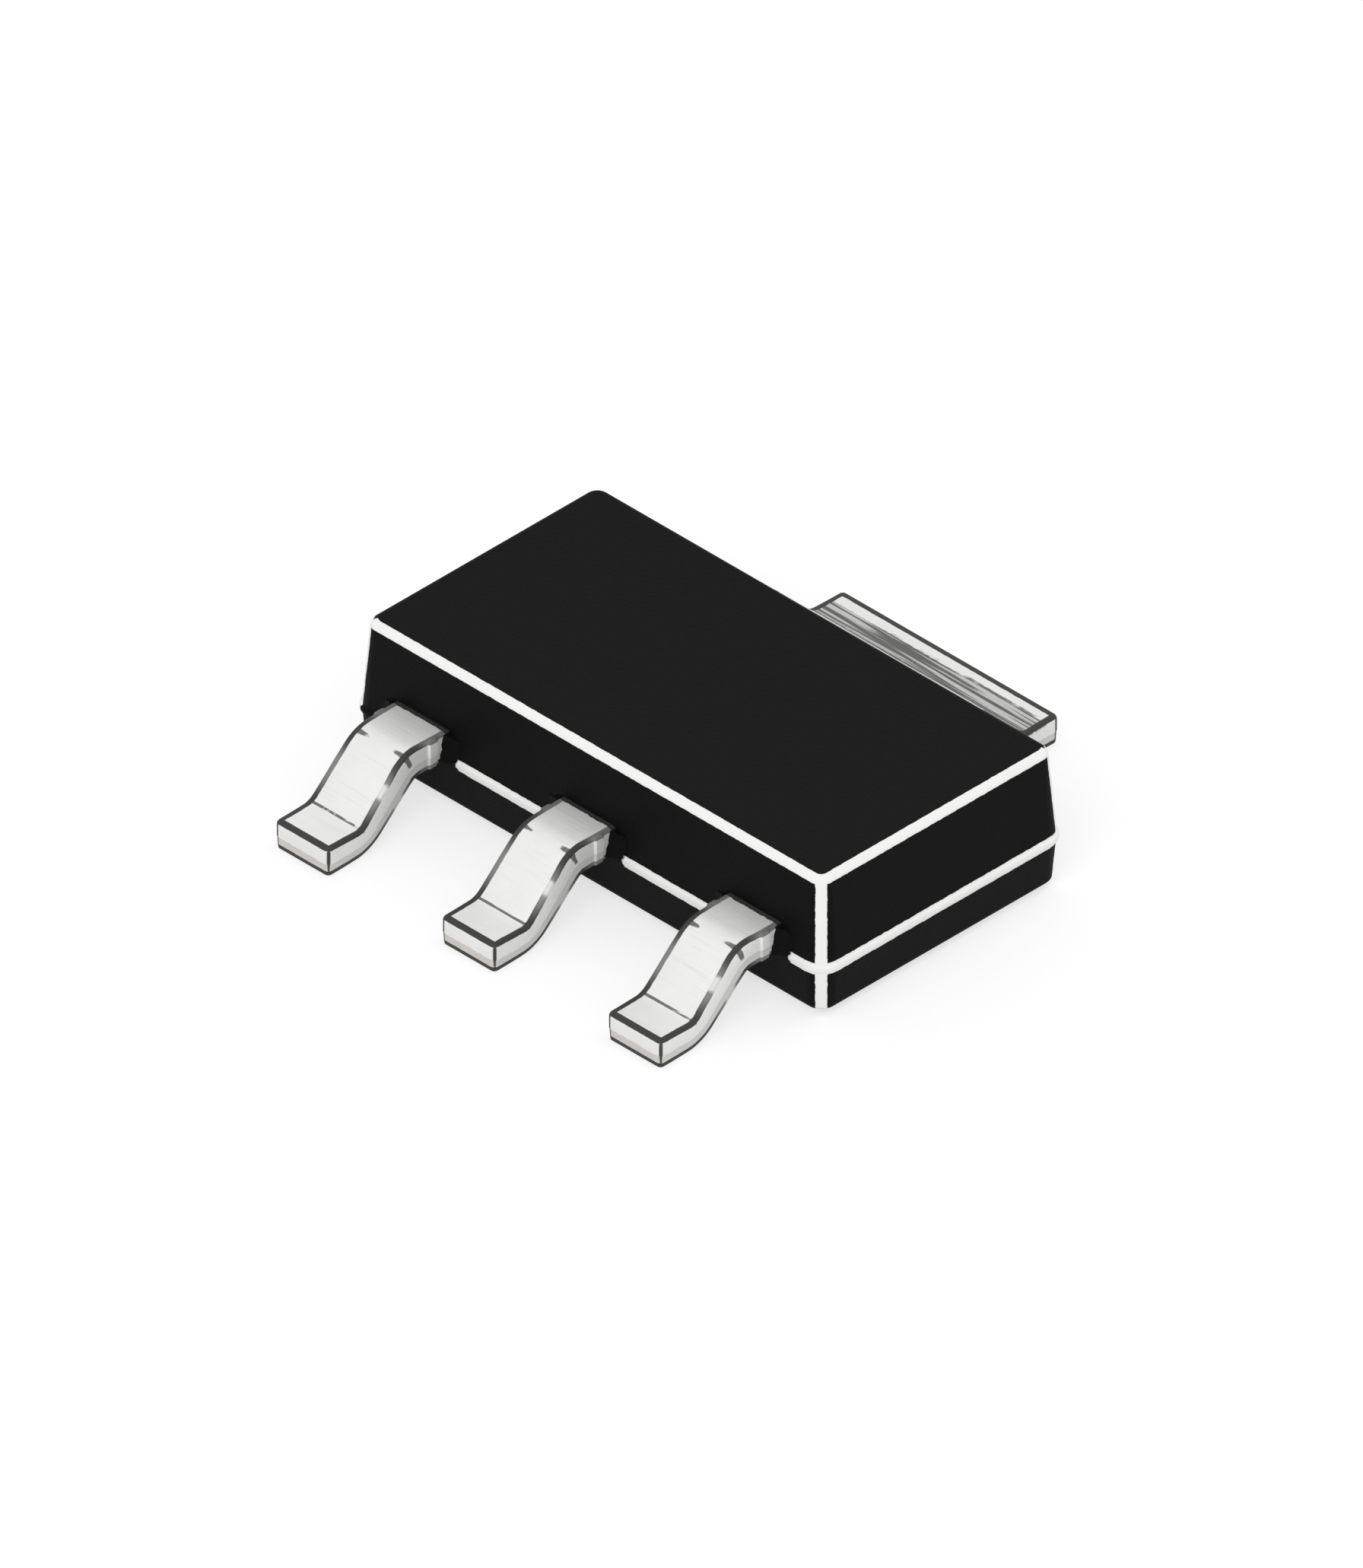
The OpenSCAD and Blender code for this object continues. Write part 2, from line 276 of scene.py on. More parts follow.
class Graph:
    """The node tree of a new material or of the world, with short calls to fill it."""

    def __init__(self, owner):
        self.owner = bpy.data.materials.new(owner) if isinstance(owner, str) else owner
        self.owner.use_nodes = True
        self.tree = self.owner.node_tree
        self.tree.nodes.clear()

    def node(self, kind, sockets=None, **settings):
        """A new node with its settings. Its sockets, by name or number, take a value or a link."""
        node = self.tree.nodes.new("ShaderNode" + kind)
        for key, value in settings.items():
            setattr(node, key, value)
        for key, value in (sockets or {}).items():
            if isinstance(value, Value):
                self.tree.links.new(value.socket, node.inputs[key])
            else:
                node.inputs[key].default_value = value
        return node

    def add(self, kind, sockets=None, out=0, **settings):
        """What a new node gives at one of its outputs."""
        return Value(self, self.node(kind, sockets, **settings).outputs[out])

    def calculate(self, operation, *values):
        return self.add("Math", dict(enumerate(values)), operation=operation)

    def larger(self, *values):
        return functools.reduce(lambda a, b: self.calculate("MAXIMUM", a, b), values)

    def smaller(self, a, b):
        return self.calculate("MINIMUM", a, b)

    def above(self, value, edge, soft):
        """0 below the edge and 1 above it, with a soft step that reaches this far to both sides."""
        sockets = {0: value, 1: edge - soft, 2: edge + soft, 3: 0.0, 4: 1.0}
        return self.add("MapRange", sockets, interpolation_type="SMOOTHSTEP")

    def below(self, value, edge, soft):
        """1 below the edge and 0 above it, with the same soft step."""
        return self.above(value, edge, -soft)

    def between(self, fac, a, b):
        """Number a where fac is 0 and b where it is 1."""
        return self.add("Mix", {0: fac, 2: a, 3: b})

    def mix(self, fac, a, b):
        """Colour a where fac is 0 and b where it is 1."""
        return self.add("Mix", {0: fac, 6: a, 7: b}, out=2, data_type="RGBA")

    def place(self):
        """Place on the part, in millimetres."""
        return self.scaled(self.add("TexCoord", out="Object"), (1 / MM,) * 3)

    def scaled(self, vector, by):
        return self.add("VectorMath", {0: vector, 1: by}, operation="MULTIPLY")

    def split(self, vector):
        return [Value(self, socket) for socket in self.node("SeparateXYZ", {"Vector": vector}).outputs]

    def noise(self, vector, scale, detail=3.0, roughness=0.5):
        sockets = {"Vector": vector, "Scale": scale, "Detail": detail, "Roughness": roughness}
        return self.add("TexNoise", sockets)

    def bump(self, height, depth, strength, under=None):
        """Normal of a relief with this depth in millimetres, on top of the relief under it."""
        sockets = {"Height": height, "Distance": depth * MM, "Strength": strength}
        if under:
            sockets["Normal"] = under
        return self.add("Bump", sockets)

    def seen(self):
        """1 for rays from the camera, from a gloss or through glass, which show the white background."""
        outputs = self.node("LightPath").outputs
        rays = [outputs[f"Is {kind} Ray"] for kind in ("Camera", "Glossy", "Transmission")]
        return self.larger(*(Value(self, ray) for ray in rays))

    def surface(self, shader):
        """The material, ended with its shader."""
        self.node("OutputMaterial", {"Surface": shader})
        return self.owner

    def opaque(self, colour, roughness, normal, metallic=0.0, specular=0.5):
        """The material, ended with an opaque shader."""
        sockets = {
            "Base Color": colour,
            "Roughness": roughness,
            "Normal": normal,
            "Metallic": metallic,
            "Specular IOR Level": specular,
        }
        return self.surface(self.add("BsdfPrincipled", sockets))


def to_sheet_side(g, x, is_tab):
    """Distance beyond the side of the nearest lead, or of the tab. It is negative within their width."""
    to_lead = g.calculate("PINGPONG", x, LEAD_PITCH / 2) - LEAD_W / 2
    to_tab = abs(x) - TAB_W / 2
    return g.between(is_tab, to_lead, to_tab)


def painted_edge_highlights(g, mm):
    """Where a highlight is painted pale on the body: on its rims, its upright corners and the flash on its
    parting line.
    """
    x, y, z = g.split(mm)
    # Times a length, it makes an edge waver by up to half that length to both sides
    ragged = g.noise(mm, scale=16.0, detail=4.0) - 0.5

    # Place within the drafted, round-cornered outline of the body at this height
    from_parting = abs(z - PARTING_Z)
    past_x = g.larger(abs(x) - CORE_X, 0.0)
    past_y = g.larger(abs(y) - CORE_Y, 0.0)
    past = g.calculate("SQRT", past_x * past_x + past_y * past_y)
    inward = BODY_R - from_parting * math.tan(DRAFT) - past

    # The painted highlight covers only the outer half of the rims on the +Y and -X sides
    behind = past_y * g.calculate("SIGN", y) - past_x * g.calculate("SIGN", x)
    behind = g.above(behind / past, 0.0, soft=0.2)
    outer_half = g.below(inward - (TOP_Z - z), -OUTER_HALF, soft=0.004)
    on_rim = g.below(g.larger(TOP_Z - z, inward) + ragged * 0.016, RIM_BAND, soft=0.004)
    on_rim *= g.larger(outer_half, 1.0 - behind)

    # Away from the corners one of the two reaches past the core is 0
    askew = abs(past_x - past_y) + (g.smaller(past_x, past_y) < 0.001)
    at_corner = g.below(askew + ragged * 0.03, CORNER_BAND, soft=0.005)

    # No highlight is painted on the flash beside the leads and the tab, nor between the first lead and its
    # corner
    on_ridge = g.below(from_parting + ragged * 0.02, RIDGE_BAND, soft=0.004)
    on_ridge *= g.above(to_sheet_side(g, x, y > 0.0) + ragged * 0.06, RIDGE_CLEAR, soft=0.015)
    on_ridge *= g.larger(behind, x > -LEAD_PITCH)
    on_side = g.below(inward, SIDE_SKIN, soft=0.005) * g.larger(at_corner, on_ridge)
    return g.larger(on_rim, on_side)


def resin_material():
    """Black moulding compound: matt, spark-eroded grain, with a pale highlight painted on its rims, upright
    corners and mould flash.
    """
    g = Graph("black_resin")
    mm = g.place()
    coarse = g.noise(mm, scale=3.0)
    grain = g.noise(mm, scale=34.0, detail=4.0, roughness=0.6)
    black = g.mix(coarse, RESIN_DEEP, RESIN_LIT)
    # Painted highlight: pale bands on the rims, upright corners and parting flash
    colour = g.mix(painted_edge_highlights(g, mm), black, RESIN_PAINTED_HIGHLIGHT)
    normal = g.bump(grain, depth=0.006, strength=0.8)
    rough = g.between(coarse, 0.52, 0.64)
    return g.opaque(colour, rough, normal, specular=0.06)


def fracture_material():
    """Broken resin at the gate: dull, with grains of the mineral filler showing."""
    g = Graph("broken_resin")
    mm = g.place()
    lumps = g.noise(mm, scale=22.0, detail=5.0, roughness=0.65)
    grains = g.above(g.noise(mm, scale=70.0, detail=2.0), 0.64, soft=0.04)
    colour = g.mix(lumps, RESIN_BROKEN, RESIN_LUMPS)
    colour = g.mix(grains * 0.6, colour, FILLER)
    normal = g.bump(lumps, depth=0.012, strength=0.9)
    return g.opaque(colour, roughness=0.85, normal=normal, specular=0.2)


def plain_material(name, dark, light, roughness, metallic, scale):
    """Grained finish for the pieces inside the body."""
    g = Graph(name)
    grain = g.noise(g.place(), scale, detail=4.0)
    rough = g.between(grain, roughness - 0.06, roughness + 0.06)
    normal = g.bump(grain, depth=0.002, strength=0.6)
    return g.opaque(g.mix(grain, dark, light), rough, normal, metallic)


def place_on_sheet(g):
    """Where a point lay in the flat sheet. What starts with to_ is a distance, negative inside the sheet."""
    blank = g.add("Attribute", out="Vector", attribute_name="blank")
    x, y, level = g.split(blank)
    run = abs(y) - HALF_BODY
    is_tab = y > 0.0
    to_side = to_sheet_side(g, x - OUTLINE_SHIFT, is_tab)
    to_toe = run - g.between(is_tab, RUN_L + OUTLINE_PAST_LEAD, RUN_L + OUTLINE_PAST_TAB)
    return SimpleNamespace(
        blank=blank,
        x=x,
        run=run,
        level=level,
        is_tab=is_tab,
        to_side=to_side,
        to_toe=to_toe,
        to_edge=g.larger(to_side, to_toe),
        to_face=abs(level) - HALF_T,
        clouds=g.noise(blank, scale=2.6),
        ragged=g.noise(blank, scale=14.0) - 0.5,
    )


def pad_marks_and_shade(g, at, brushed):
    """A pad's marks on the tab's upper face, and painted shade: the band it worked on, a grey hatch of
    painted shade in the pattern of its brush marks, and its edge's line.
    """
    upper = at.is_tab * g.above(at.level, HALF_T - PAD_DEPTH, soft=0.015)
    from_pad = at.run - (RUN_L - PAD_SETBACK) + at.ragged * 0.03
    band = g.below(from_pad, -0.01, soft=0.01) * upper
    # Grey hatch of painted shade, in the pattern of the brush marks
    shade_hatch = (g.above(brushed, 0.48, soft=0.06) * 0.60 + 0.36) * band
    # The pad hardly touched the slope above the bend
    # The painted shade is faint on the shoulder and the slope, and full from just before the slope's end
    shade_hatch *= g.between(g.above(at.run, LEG_END - SHADE_EASE, soft=0.05), 0.12, 1.0)
    line = g.below(abs(from_pad), PAD_MARK, soft=0.005) * upper
    line *= g.above(at.x * 0.1 + at.clouds, 0.48, soft=0.08)
    return band, shade_hatch, line


def fold_marks(g, at):
    """The bending tool's marks: near the sheet's sides at the first fold, right across at the second."""
    uneven = (g.noise(g.scaled(at.blank, (5.0, 9.0, 9.0)), scale=1.0) - 0.5) * 0.03
    # The marks at the first fold get thinner away from the sheet's side
    taper = uneven + g.larger(at.to_side, -0.24) * 0.07
    first = g.below(abs(at.run - FIRST_FOLD) - taper, FIRST_MARK, soft=0.005)
    near_side = g.above(at.to_side + at.ragged * 0.2, -FIRST_MARK_L, soft=0.035)
    first *= near_side * g.above(at.level, 0.015, soft=0.015)
    second = g.below(abs(at.run - SECOND_FOLD) - uneven, SECOND_MARK, soft=0.006)
    second *= g.above(at.level, HALF_T - SECOND_MARK_DEPTH, soft=0.01)
    second *= g.above(at.ragged * 0.5 + at.clouds, 0.36, soft=0.06)
    return g.larger(first, second)


def outline_shade_and_bleed(g, at):
    """Painted shade as a dark outline along the sheared edges and at the toe's corners, and resin that bled
    on from the body.
    """
    outline = g.above(at.to_edge + at.ragged * 0.012, -SHADE_LINE_IN, soft=0.005)
    from_face = at.to_face + g.between(at.level > 0.0, SHADE_LINE_UP, SHADE_LINE_DOWN) + at.ragged * 0.01
    outline *= g.above(from_face, 0.0, soft=0.004)
    # It is strongest at the first fold and from the second one on
    near_first = g.below(abs(at.run - FIRST_FOLD), NEAR_FIRST, soft=0.125)
    to_foot = g.below(SECOND_FOLD - at.run, BEFORE_SECOND, soft=0.15)
    strength = g.between(g.larger(near_first, to_foot), 0.75, 1.0)
    # It is painted thin at one place of each lead's +X side, and of the tab's -X side
    thin_spot = g.below(abs(at.run + at.ragged * 0.06 - THIN_SPOT_RUN), THIN_SPOT_HALF_L, soft=0.03)
    thin_spot *= g.calculate("WRAP", at.x, LEAD_PITCH / 2, -LEAD_PITCH / 2) > 0.0
    strength *= g.between(thin_spot, 1.0, 0.25)
    at_corner = g.above(at.to_side, -TOE_CORNER, soft=0.0075) * g.above(at.to_toe, -TOE_CORNER, soft=0.0075)
    bleed = g.below(at.run + at.ragged * 0.04, BLEED_L, soft=0.005)
    return g.larger(outline * strength, at_corner, bleed)


def tin_material():
    """Matt tin over rolled copper sheet, with painted shade as a dark outline along its edges and as a grey
    hatch on the tab, and marks of the tools.
    """
    g = Graph("matt_tin")
    at = place_on_sheet(g)
    rolling = g.noise(g.scaled(at.blank, (1.2, 34.0, 34.0)), scale=1.0, detail=4.0, roughness=0.65)
    brushed = g.noise(g.scaled(at.blank, (0.7, 26.0, 26.0)), scale=1.0, detail=2.0)
    crystals = g.noise(at.blank, scale=30.0, roughness=0.6)

    colour = g.mix(at.clouds, TIN_DULL, TIN_CLEAR)
    colour = g.mix(g.above(rolling, 0.63, soft=0.09) * 0.25, colour, TIN_ROLLED)
    band, shade_hatch, pad_line = pad_marks_and_shade(g, at, brushed)
    # Painted shade: a grey hatch on the tab
    colour = g.mix(shade_hatch, colour, TIN_SHADE_HATCH)
    colour = g.mix(g.larger(fold_marks(g, at), pad_line) * 0.9, colour, TIN_MARKED)
    # Painted shade: a dark outline along the sheet's edges, with the resin bleed near the body
    dark = outline_shade_and_bleed(g, at)
    colour = g.mix(dark, colour, TIN_OUTLINE_SHADE)

    # Lower part of the sheared edge, with bare copper at the toe
    broken = g.below(at.level + at.ragged * 0.05, HALF_T - BREAK_DEPTH, soft=0.006)
    broken *= g.above(at.to_edge, -BROKEN_IN, soft=0.0065)
    broken *= 1.0 - dark
    colour = g.mix(broken * 0.45, colour, EDGE_BROKEN)
    copper = g.above(at.to_toe + at.ragged * 0.06, -0.02, soft=0.01) * broken
    colour = g.mix(copper * 0.25, colour, EDGE_COPPER)

    rough = g.between(crystals, 0.56, 0.70) + broken * 0.12
    normal = g.bump(rolling, depth=0.003, strength=0.6)
    normal = g.bump(brushed, depth=0.004, strength=band * 0.6, under=normal)
    normal = g.bump(crystals, depth=0.003, strength=0.5, under=normal)
    return g.opaque(colour, rough, normal, metallic=0.5)


def rounded(corners, steps=5):
    """Outline through the corners, each (x, y, radius), with the corners rounded."""
    points = []
    for i, (x, y, r) in enumerate(corners):
        corner = Vector((x, y))
        if not r:
            points.append(corner)
            continue
        back = (Vector(corners[i - 1][:2]) - corner).normalized()
        ahead = (Vector(corners[(i + 1) % len(corners)][:2]) - corner).normalized()
        half = back.angle(ahead) / 2
        centre = corner + (back + ahead).normalized() * (r / math.sin(half))
        first = corner + back * (r / math.tan(half)) - centre
        last = corner + ahead * (r / math.tan(half)) - centre
        turn = first.angle_signed(last)
        for k in range(steps + 1):
            points.append(centre + Matrix.Rotation(-turn * k / steps, 2) @ first)
    return points


def inset(loop, distance, least=0.3):
    """The loop moved to its left, into the sheet. Least keeps sharp corners from moving too far."""
    moved = []
    for i, p in enumerate(loop):
        a = (p - loop[i - 1]).normalized()
        b = (loop[(i + 1) % len(loop)] - p).normalized()
        left = Vector((-a.y - b.y, a.x + b.x)).normalized()
        moved.append(p + left * (distance / max(least, left.dot(Vector((-b.y, b.x))))))
    return moved


def on_path(run, t):
    """Reach past the body's side and height above the board, for a run along the sheet and a level in it."""
    sine, cosine = math.sin(LEG_SLOPE), math.cos(LEG_SLOPE)
    bend_z = PARTING_Z - SHOULDER_BEND_R
    if run <= SHOULDER_L:
        return run, PARTING_Z + HALF_T + t
    if run < LEG_START:
        a = (run - SHOULDER_L) / SHOULDER_MID_R
        return SHOULDER_L + (SHOULDER_MID_R + t) * math.sin(a), bend_z + (SHOULDER_MID_R + t) * math.cos(a)
    down = min(run, LEG_END) - LEG_START
    reach = SHOULDER_L + SHOULDER_MID_R * sine + down * cosine
    height = bend_z + SHOULDER_MID_R * cosine - down * sine
    if run <= LEG_END:
        return reach + t * sine, height + t * cosine
    centre_y, centre_z = reach + FOOT_MID_R * sine, height + FOOT_MID_R * cosine
    if run < FOOT_START:
        a = LEG_SLOPE - (run - LEG_END) / FOOT_MID_R
        return centre_y - (FOOT_MID_R - t) * math.sin(a), centre_z - (FOOT_MID_R - t) * math.cos(a)
    return centre_y + run - FOOT_START, centre_z - (FOOT_MID_R - t)


def bent(x, y, t, wings):
    """Where a point of the flat sheet comes to lie, for its level t above the middle of the sheet."""
    for side, centre, half_width in wings:
        run = side * y - HALF_BODY
        if run > 0:
            off = x - centre
            at_side = max(0.0, 1 - (half_width - abs(off)) / SQUEEZE_REACH) ** 2
            squeeze = math.exp(-(((run - SECOND_FOLD) / FOOT_ARC) ** 2))
            squeeze -= math.exp(-(((run - FIRST_FOLD) / SHOULDER_ARC) ** 2))
            x += math.copysign(SQUEEZE, off) * at_side * squeeze * t / HALF_T
            reach, height = on_path(run, t)
            return x, side * (HALF_BODY + reach), height
    return x, y, PARTING_Z + HALF_T + t


def sheared_walls(bm, loops):
    """Sheared edges along the loops. Returns the edges that border the sheet's upper and lower face."""
    borders = {0: [], len(EDGE_PROFILE) - 1: []}
    for loop in loops:
        previous = None
        for row, (distance, depth) in enumerate(EDGE_PROFILE):
            ring = [bm.verts.new((p.x, p.y, HALF_T - depth)) for p in inset(loop, distance)]
            pairs = [(ring[k - 1], ring[k]) for k in range(len(ring))]
            if previous:
                for k, (a, b) in enumerate(pairs):
                    bm.faces.new((previous[k - 1], a, b, previous[k]))
            if row in borders:
                borders[row] += [bm.edges.get(pair) or bm.edges.new(pair) for pair in pairs]
            previous = ring
    return borders.values()


def cut_across(bm, side):
    """Cuts the flat gull wing on this side of the body across, so that it can bend."""
    stretches = [
        (0, SHOULDER_L, FLAT_CUTS),
        (SHOULDER_L, LEG_START, BEND_CUTS),
        (LEG_START, LEG_END, LEG_CUTS),
        (LEG_END, FOOT_START, BEND_CUTS),
        (FOOT_START, RUN_L, FLAT_CUTS),
    ]
    runs = [start + (end - start) * k / cuts for start, end, cuts in stretches for k in range(cuts)]
    for run in runs[1:]:
        bmesh.ops.bisect_plane(
            bm,
            geom=bm.verts[:] + bm.edges[:] + bm.faces[:],
            plane_co=(0, side * (HALF_BODY + run), 0),
            plane_no=(0, 1, 0),
            dist=1e-5,
        )


def press_out(name, outline, holes, wings, material):
    """A piece of the stamped frame, blanked and then bent. Wings are (side, centre x, half width)."""
    bm = bmesh.new()
    blank = bm.verts.layers.float_vector.new("blank")
    for border in sheared_walls(bm, [outline, *holes]):
        bmesh.ops.triangle_fill(bm, use_beauty=True, edges=border)
    for side, _, _ in wings:
        cut_across(bm, side)
    for vert in bm.verts:
        vert[blank] = vert.co
        vert.co = bent(*vert.co, wings)
    return finished(bm, name, material)


def finished(bm, name, material, sharp=38):
    """Turns the bmesh, in millimetres, into a smooth-shaded piece that rides on the frame.

    Edges that turn by more than sharp, in degrees, stay sharp.
    """
    bmesh.ops.recalc_face_normals(bm, faces=bm.faces[:])
    for vert in bm.verts:
        vert.co *= MM
    mesh = bpy.data.meshes.new(name)
    bm.to_mesh(mesh)
    bm.free()
    mesh.shade_smooth()
    mesh.set_sharp_from_angle(angle=math.radians(sharp))
    mesh.materials.append(material)
    obj = link(bpy.data.objects.new(name, mesh))
    weighted = obj.modifiers.new("even_normals", "WEIGHTED_NORMAL")
    weighted.keep_sharp = True
    weighted.weight = 100
    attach(obj, "root")
    return obj


def wing_side(x, across, out):
    """Corners down a side of a gull wing, with the tie bar's stub. Across and out are the ways it faces."""
    near, far = STUB_GAP, STUB_GAP + STUB_L
    return [
        (x + across * proud, out * (HALF_BODY + run), 0)
        for run, proud in ((near, 0), (near + STUB_OUT, STUB_OUT), (far - STUB_OUT, STUB_OUT), (far, 0))
    ]


def wing_corners(centre, half_width, side):
    """Corners of a flat gull wing, anticlockwise from its root on one side round the toe to the other."""
    toe = side * (HALF_BODY + RUN_L)
    start_x, end_x = centre + side * half_width, centre - side * half_width
    back = wing_side(end_x, -side, side)[::-1]
    return wing_side(start_x, side, side) + [(start_x, toe, TOE_R), (end_x, toe, TOE_R)] + back


def post_lead(name, side, material):
    """Outer lead with its bonding post, on the given side of the row."""
    outer = LEAD_PITCH + LEAD_W / 2
    inner = LEAD_PITCH - LEAD_W / 2
    wing = wing_corners(side * LEAD_PITCH, LEAD_W / 2, -1)
    tip = outer - POST_L
    post_back = POST_FRONT + POST_W
    places = [(outer, post_back), (tip, post_back), (tip, POST_FRONT), (inner, POST_FRONT)]
    inside = [(side * x, y, FRAME_R) for x, y in places]
    # The wing starts at its -X side, so the inside runs on from its +X side
    inside = inside[::-1] if side < 0 else inside
    return press_out(name, rounded(wing + inside), [], [(-1, side * LEAD_PITCH, LEAD_W / 2)], material)


def lock_hole(side):
    """Hole in the root of the tab, which the resin fills and so holds on to. It runs clockwise."""
    centre = Vector((side * LOCK_PITCH / 2, HALF_BODY - LOCK_INSET))
    turns = [-2 * math.pi * k / LOCK_POINTS for k in range(LOCK_POINTS)]
    return [centre + Vector((math.cos(a), math.sin(a))) * (LOCK_D / 2) for a in turns]


def centre_frame(name, material):
    """Centre lead, die paddle and tab in one piece."""
    half_lead, half_tab, half_paddle = LEAD_W / 2, TAB_W / 2, PADDLE_W / 2
    front = [(half_lead, PADDLE_FRONT), (half_paddle, PADDLE_FRONT)]
    back = [(half_paddle, PADDLE_BACK), (half_tab, PADDLE_BACK)]
    right = [(x, y, FRAME_R) for x, y in front + back]
    left = [(-x, y, r) for x, y, r in right[::-1]]
    corners = wing_corners(0, half_lead, -1) + right + wing_corners(0, half_tab, 1) + left
    wings = [(-1, 0.0, half_lead), (1, 0.0, half_tab)]
    return press_out(name, rounded(corners), [lock_hole(-1), lock_hole(1)], wings, material)


def shell(bm, grid, front, back):
    """A closed sheet over a grid: front and back give the place of a grid point from 0 to 1 both ways."""
    columns, rows = grid
    faces = []
    for place in (front, back):
        faces.append([
            [bm.verts.new(place(i / columns, j / rows)) for j in range(rows + 1)]
            for i in range(columns + 1)
        ])
    for face in faces:
        for i in range(columns):
            for j in range(rows):
                bm.faces.new((face[i][j], face[i + 1][j], face[i + 1][j + 1], face[i][j + 1]))
    border = [(i, 0) for i in range(columns)] + [(columns, j) for j in range(rows)]
    border += [(i, rows) for i in range(columns, 0, -1)] + [(0, j) for j in range(rows, 0, -1)]
    ahead, behind = ([face[i][j] for i, j in border] for face in faces)
    for k in range(len(border)):
        bm.faces.new((ahead[k - 1], ahead[k], behind[k], behind[k - 1]))


def add_web(bm, side, centre, half_width, across):
    """One web of resin in the corner between the body and a side of a lead or of the tab."""
    # Each web gets its own grain
    seed = Vector((centre * 3.1 + across * 7.7, side * 5.3, 0))

    def waver(along, row):
        return noise.noise(seed + Vector((along * 30, row, 0)))

    def front(u, v):
        along = -WEB_TUCK + u * WEB_L
        grain = noise.noise(seed + Vector((along, v * SHEET_T, 0)) * 22)
        # The web thins out along the body and towards its upper edge
        out = WEB_OUT * (1 - u) ** 2.4 * (1 + 0.35 * grain) + WEB_THIN
        out *= 1 - 0.5 * v**4
        low = PARTING_Z + 0.012 * waver(along, 9)
        high = LEAD_Z - 0.02 - 0.05 * u + 0.02 * waver(along, 4)
        z = low + v * (high - low)
        lean = (z - PARTING_Z) * math.tan(DRAFT) * u
        return centre + across * (half_width + along), side * (HALF_BODY + out - lean), z

    def back(u, v):
        x, _, z = front(u, v)
        return x, side * (HALF_BODY - WEB_ROOT), z

    shell(bm, WEB_GRID, front, back)


def resin_flash(material):
    """Thin webs of resin left in the corners between the body and the sides of the leads and the tab."""
    bm = bmesh.new()
    spans = [(-1, shift * LEAD_PITCH, LEAD_W / 2) for shift in (-1, 0, 1)] + [(1, 0.0, TAB_W / 2)]
    for side, centre, half_width in spans:
        for across in (-1, 1):
            add_web(bm, side, centre, half_width, across)
    return finished(bm, "resin_flash", material)


def gate_fracture(material):
    """Rough broken face where the moulding gate was snapped off the end of the body."""
    bm = bmesh.new()

    def front(u, v):
        y, z = (u - 0.5) * GATE_W, PARTING_Z + v * GATE_H
        place = Vector((0, y, z))
        rough = noise.fractal(place * 14, 0.7, 2.1, 4) + 0.6 * noise.noise(place * 5)
        at_rim = min(1.0, 14 * min(u, 1 - u), 3.5 * min(v, 1 - v) + 0.15)
        depth = max(0.0, min(1.0, 0.5 + 0.5 * rough)) * at_rim
        return -(BODY_L / 2 + GATE_OUT + FRACTURE_OUT * depth), y, z

    def back(u, v):
        _, y, z = front(u, v)
        return -(BODY_L / 2 + GATE_OUT / 2), y, z

    shell(bm, FRACTURE_GRID, front, back)
    return finished(bm, "gate_fracture", material, sharp=50)


def dress_nodes(materials):
    """Finish of the CAD nodes that show as they are."""
    for node, (slot, material) in materials.items():
        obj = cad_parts[node]
        obj.data.materials.clear()
        obj.data.materials.append(material)


def table_material():
    """White table: where no shadow falls, the two shares that the camera sees come to white."""
    g = Graph("white_table")
    diffuse = g.add("BsdfDiffuse", {"Color": TABLE})
    glow = g.add("Emission", {"Color": WHITE, "Strength": TABLE_GLOW})
    return g.surface(g.add("MixShader", {0: g.seen() * GLOW_SHARE, 1: diffuse, 2: glow}))


def set_table():
    mesh = bpy.data.meshes.new("table")
    half = TABLE_SIZE / 2 * MM
    corners = [(x * half, y * half, 0) for x, y in ((-1, -1), (1, -1), (1, 1), (-1, 1))]
    mesh.from_pydata(corners, [], [(0, 1, 2, 3)])
    mesh.materials.append(table_material())
    table = link(bpy.data.objects.new("table", mesh))
    table.location.z = -TABLE_DROP * MM


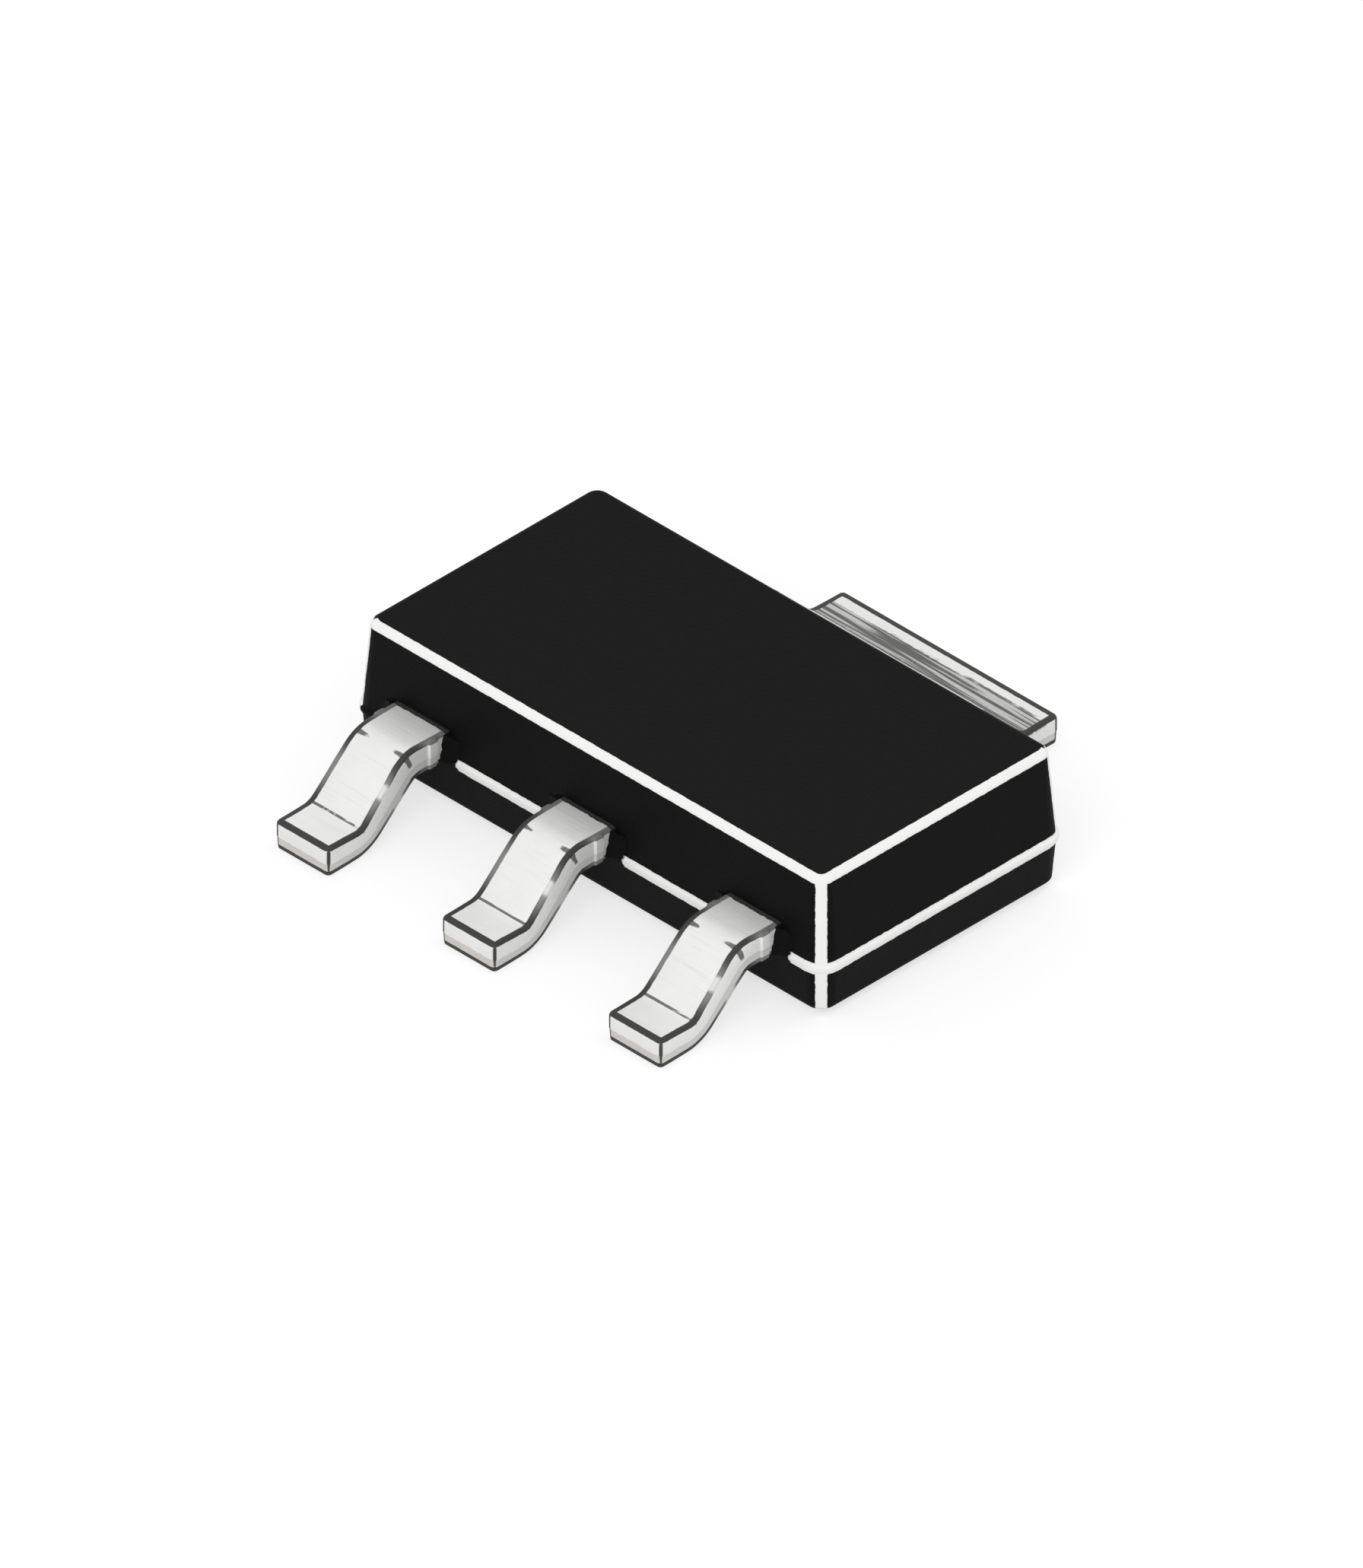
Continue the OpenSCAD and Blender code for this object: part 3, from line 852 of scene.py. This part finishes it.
def set_lights():
    for name, (strength, angle, direction) in LAMPS.items():
        lamp = bpy.data.lights.new(name, "SUN")
        lamp.energy = strength
        lamp.angle = math.radians(angle)
        obj = link(bpy.data.objects.new(name, lamp))
        obj.rotation_mode = "QUATERNION"
        obj.rotation_quaternion = Vector(direction).to_track_quat("Z", "Y")
    world = bpy.data.worlds.new("studio")
    bpy.context.scene.world = world
    g = Graph(world)
    light = g.add("Background", {"Color": WHITE, "Strength": WORLD_LIGHT})
    white = g.add("Background", {"Color": WHITE, "Strength": 1.0})
    g.node("OutputWorld", {"Surface": g.add("MixShader", {0: g.seen(), 1: light, 2: white})})


def set_camera():
    """True isometric view from the +X -Y side, with no perspective, as in the drawing."""
    azimuth, elevation = math.radians(45), math.asin(math.tan(math.radians(30)))
    across = math.cos(elevation)
    away = Vector((math.sin(azimuth) * across, -math.cos(azimuth) * across, math.sin(elevation)))
    turn = (-away).to_track_quat("-Z", "Y")
    right, up = turn @ Vector((1, 0, 0)), turn @ Vector((0, 1, 0))
    data = bpy.data.cameras.new("camera")
    data.type = "ORTHO"
    data.ortho_scale = VIEW_SIZE * MM
    data.clip_start, data.clip_end = VIEW_NEAREST * MM, VIEW_FARTHEST * MM
    camera = link(bpy.data.objects.new("camera", data))
    camera.rotation_mode = "QUATERNION"
    camera.rotation_quaternion = turn
    camera.location = (VIEW_RIGHT * right + VIEW_UP * up + VIEW_AWAY * away) * MM
    bpy.context.scene.camera = camera


resin = resin_material()
tin = tin_material()
solder = plain_material("soft_solder", SOLDER_DARK, SOLDER_LIGHT, roughness=0.4, metallic=1.0, scale=9.0)
silicon = plain_material("silicon", SILICON_DARK, SILICON_LIGHT, roughness=0.25, metallic=0.4, scale=16.0)
wire = plain_material("aluminium", ALUMINIUM_DARK, ALUMINIUM_LIGHT, roughness=0.3, metallic=1.0, scale=30.0)
dress_nodes({
    "moulded_body": ("moulding_compound", resin),
    "die_attach": ("solder", solder),
    "silicon_die": ("silicon", silicon),
})
dress_nodes({node: ("aluminium_wire", wire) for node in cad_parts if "_wire" in node})

for piece, node in (
    (post_lead("formed_adjust_lead", -1, tin), "adjust_lead"),
    (centre_frame("formed_output_frame", tin), "output_frame"),
    (post_lead("formed_input_lead", 1, tin), "input_lead"),
):
    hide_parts(node)
for piece in (resin_flash(resin), gate_fracture(fracture_material())):
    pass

set_table()
set_lights()
set_camera()
bpy.context.scene.view_settings.view_transform = "Standard"
